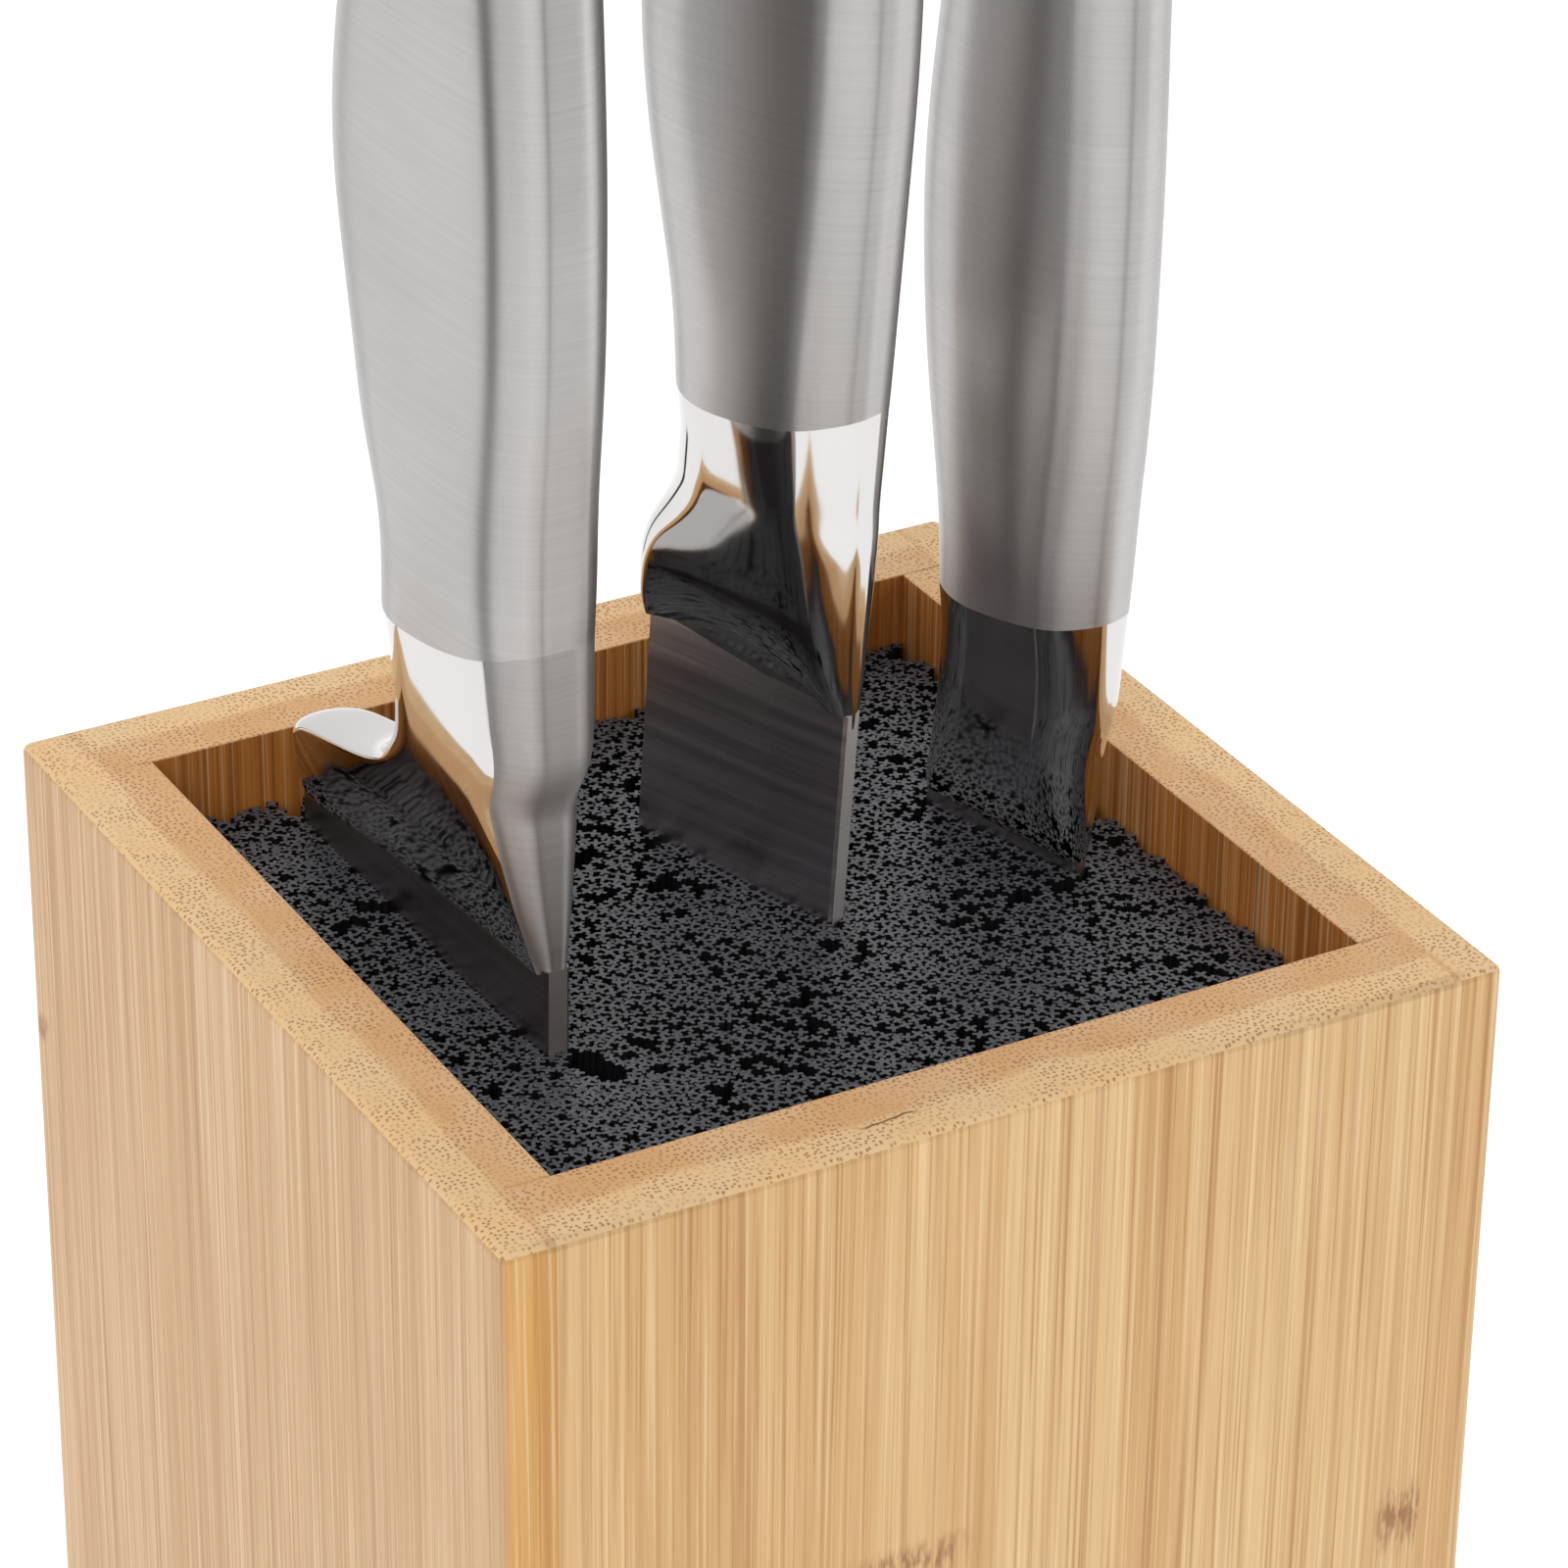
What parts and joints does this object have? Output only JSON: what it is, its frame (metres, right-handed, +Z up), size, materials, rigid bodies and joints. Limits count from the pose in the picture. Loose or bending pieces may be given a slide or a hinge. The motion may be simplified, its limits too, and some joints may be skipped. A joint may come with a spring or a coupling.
{
  "type": "knife block with knives",
  "caption": "Square bamboo knife block filled with loose plastic rods, with all-steel knives pushed in between them.",
  "frame": {"origin": "on the ground, at the centre of the block", "axes": "+Z up, -Y out of the front board, +X towards the right side board"},
  "size_m": [0.1, 0.1, 0.3674],
  "materials": {
    "bamboo_front": "oiled",
    "bamboo_back": "oiled",
    "bamboo_left": "oiled",
    "bamboo_right": "oiled",
    "bamboo_base": "sanded",
    "rubber_feet": "matt",
    "insert_base": "moulded",
    "bristle_rods": "extruded, cut ends",
    "blade_steel": "ground",
    "polished_steel": "polished",
    "brushed_steel": "brushed across"
  },
  "bodies": {
    "block": {"front_board": "bamboo_front", "back_board": "bamboo_back", "left_side_board": "bamboo_left", "right_side_board": "bamboo_right", "base_board": "bamboo_base", "foot_front_left": "rubber_feet", "foot_front_right": "rubber_feet", "foot_back_left": "rubber_feet", "foot_back_right": "rubber_feet"},
    "bristle_insert": {"bristle_base": "insert_base", "rods_left": "bristle_rods", "rods_centre_left": "bristle_rods", "rods_centre_right": "bristle_rods", "rods_right": "bristle_rods"},
    "chef_knife": {"chef_knife_blade": "blade_steel", "chef_knife_bolster": "polished_steel", "chef_knife_handle": "brushed_steel", "chef_knife_end_cap": "brushed_steel"},
    "carving_knife": {"carving_knife_blade": "blade_steel", "carving_knife_bolster": "polished_steel", "carving_knife_handle": "brushed_steel", "carving_knife_end_cap": "brushed_steel"},
    "utility_knife": {"utility_knife_blade": "blade_steel", "utility_knife_bolster": "polished_steel", "utility_knife_handle": "brushed_steel", "utility_knife_end_cap": "brushed_steel"}
  },
  "joints": [
    {"name": "insert_lift", "type": "slide", "parent": "block", "child": "bristle_insert", "axis": [0, 0, 1], "range_m": [0, 0.22]},
    {"name": "chef_knife_pull", "type": "slide", "parent": "bristle_insert", "child": "chef_knife", "axis": [0.0006, -0.0174, 0.9998], "range_m": [0, 0.21]},
    {"name": "carving_knife_pull", "type": "slide", "parent": "bristle_insert", "child": "carving_knife", "axis": [0.0214, -0.0664, 0.9976], "range_m": [0, 0.195]},
    {"name": "utility_knife_pull", "type": "slide", "parent": "bristle_insert", "child": "utility_knife", "axis": [0.0178, -0.0529, 0.9984], "range_m": [0, 0.145]}
  ]
}
